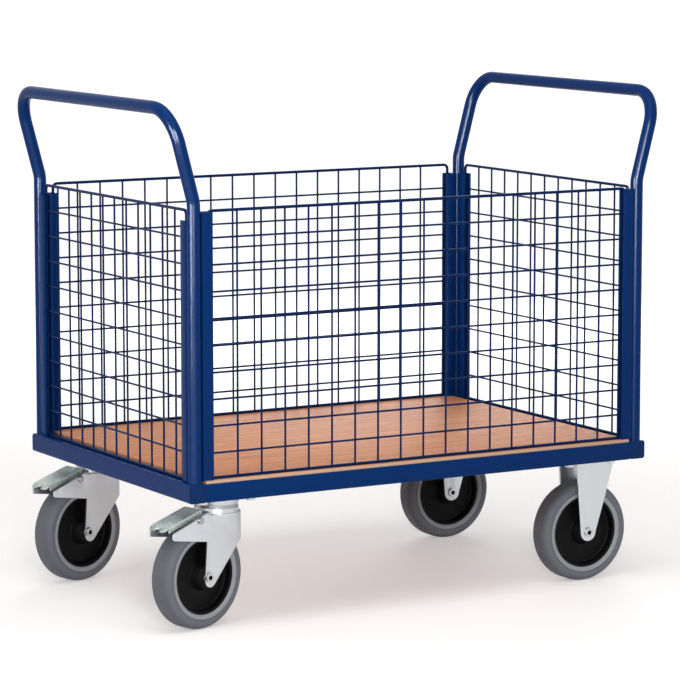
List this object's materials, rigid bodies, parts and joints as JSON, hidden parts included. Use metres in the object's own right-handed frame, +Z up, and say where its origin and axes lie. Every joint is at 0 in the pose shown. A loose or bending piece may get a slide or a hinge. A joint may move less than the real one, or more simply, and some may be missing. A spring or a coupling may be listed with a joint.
{
  "type": "mesh_trolley",
  "caption": "Flat platform trolley with welded mesh walls on all sides, leaning tube handles at both ends, braked swivel castors and fixed castors",
  "frame": {"origin": "on the floor, under the middle of the whole trolley's bounding box, with the swivel castors at their resting angle", "axes": "+X along the platform from the swivel castors to the fixed castors, +Y across it from the front side to the rear side, +Z up"},
  "size_m": [1.1132, 0.686, 0.99],
  "materials": {
    "blue_powder_coat": "smooth glossy powder coat",
    "blue_plastic": "satin",
    "beech_board": "satin laminate with beech decor",
    "zinc_plated_steel": "bright zinc plating",
    "bright_steel": "bare steel",
    "grey_rubber": "matte",
    "black_rubber": "matte",
    "black_plastic": "satin moulded",
    "dull_zinc": "dull passivated zinc, trodden dark at the nose",
    "axle_zinc": "bright zinc, black in the key socket"
  },
  "bodies": {
    "chassis": {"left_end_rail": "blue_powder_coat", "right_end_rail": "blue_powder_coat", "front_long_rail": "blue_powder_coat", "rear_long_rail": "blue_powder_coat", "left_castor_beam": "blue_powder_coat", "right_castor_beam": "blue_powder_coat", "centre_beam": "blue_powder_coat", "left_handle": "blue_powder_coat", "right_handle": "blue_powder_coat", "front_wall_channels": "blue_powder_coat", "rear_wall_channels": "blue_powder_coat", "left_wall_channels": "blue_powder_coat", "right_wall_channels": "blue_powder_coat", "rail_end_caps": "blue_plastic", "deck_board": "beech_board", "castor_plate_bolts": "zinc_plated_steel", "castor_plate_nuts": "zinc_plated_steel", "front_left_castor_plate": "zinc_plated_steel", "front_left_kingpin": "bright_steel", "front_right_castor_bracket": "zinc_plated_steel", "front_right_axle_sleeve": "bright_steel", "front_right_axle_bolt": "axle_zinc", "rear_left_castor_plate": "zinc_plated_steel", "rear_left_kingpin": "bright_steel", "rear_right_castor_bracket": "zinc_plated_steel", "rear_right_axle_sleeve": "bright_steel", "rear_right_axle_bolt": "axle_zinc"},
    "front_wall_panel": {"front_wall": "blue_powder_coat"},
    "rear_wall_panel": {"rear_wall": "blue_powder_coat"},
    "left_wall_panel": {"left_wall": "blue_powder_coat"},
    "right_wall_panel": {"right_wall": "blue_powder_coat"},
    "front_left_swivel": {"front_left_fork": "zinc_plated_steel", "front_left_swivel_ring": "bright_steel", "front_left_brake_pin": "bright_steel", "front_left_axle_sleeve": "bright_steel", "front_left_axle_bolt": "axle_zinc"},
    "front_left_brake": {"front_left_brake_pedal": "dull_zinc", "front_left_brake_shoe": "black_rubber"},
    "front_left_wheel": {"front_left_tyre": "grey_rubber", "front_left_wheel_centre": "black_plastic", "front_left_roller_cage": "black_plastic"},
    "front_right_wheel": {"front_right_tyre": "grey_rubber", "front_right_wheel_centre": "black_plastic", "front_right_roller_cage": "black_plastic"},
    "rear_left_swivel": {"rear_left_fork": "zinc_plated_steel", "rear_left_swivel_ring": "bright_steel", "rear_left_brake_pin": "bright_steel", "rear_left_axle_sleeve": "bright_steel", "rear_left_axle_bolt": "axle_zinc"},
    "rear_left_brake": {"rear_left_brake_pedal": "dull_zinc", "rear_left_brake_shoe": "black_rubber"},
    "rear_left_wheel": {"rear_left_tyre": "grey_rubber", "rear_left_wheel_centre": "black_plastic", "rear_left_roller_cage": "black_plastic"},
    "rear_right_wheel": {"rear_right_tyre": "grey_rubber", "rear_right_wheel_centre": "black_plastic", "rear_right_roller_cage": "black_plastic"}
  },
  "joints": [
    {"name": "front_wall_lift", "type": "slide", "parent": "chassis", "child": "front_wall_panel", "axis": [0, 0, 1], "range_m": [0, 0.45]},
    {"name": "rear_wall_lift", "type": "slide", "parent": "chassis", "child": "rear_wall_panel", "axis": [0, 0, 1], "range_m": [0, 0.45]},
    {"name": "left_wall_lift", "type": "slide", "parent": "chassis", "child": "left_wall_panel", "axis": [0, 0, 1], "range_m": [0, 0.45]},
    {"name": "right_wall_lift", "type": "slide", "parent": "chassis", "child": "right_wall_panel", "axis": [0, 0, 1], "range_m": [0, 0.45]},
    {"name": "front_left_swivel_turn", "type": "hinge", "parent": "chassis", "child": "front_left_swivel", "pos_m": [-0.40288, -0.257, 0.217], "axis": [0, 0, 1], "continuous": true},
    {"name": "front_left_brake_press", "type": "hinge", "parent": "front_left_swivel", "child": "front_left_brake", "pos_m": [-0.47209, -0.27685, 0.2105], "axis": [0.2756, -0.9613, 0], "range_deg": [0, 14]},
    {"name": "front_left_wheel_turn", "type": "hinge", "parent": "front_left_swivel", "child": "front_left_wheel", "pos_m": [-0.45287, -0.27133, 0.1], "axis": [-0.2756, 0.9613, 0], "continuous": true},
    {"name": "front_right_wheel_turn", "type": "hinge", "parent": "chassis", "child": "front_right_wheel", "pos_m": [0.41862, -0.257, 0.1], "axis": [0, 1, 0], "continuous": true},
    {"name": "rear_left_swivel_turn", "type": "hinge", "parent": "chassis", "child": "rear_left_swivel", "pos_m": [-0.40288, 0.257, 0.217], "axis": [0, 0, 1], "continuous": true},
    {"name": "rear_left_brake_press", "type": "hinge", "parent": "rear_left_swivel", "child": "rear_left_brake", "pos_m": [-0.47209, 0.23715, 0.2105], "axis": [0.2756, -0.9613, 0], "range_deg": [0, 14]},
    {"name": "rear_left_wheel_turn", "type": "hinge", "parent": "rear_left_swivel", "child": "rear_left_wheel", "pos_m": [-0.45287, 0.24267, 0.1], "axis": [-0.2756, 0.9613, 0], "continuous": true},
    {"name": "rear_right_wheel_turn", "type": "hinge", "parent": "chassis", "child": "rear_right_wheel", "pos_m": [0.41862, 0.257, 0.1], "axis": [0, 1, 0], "continuous": true}
  ]
}
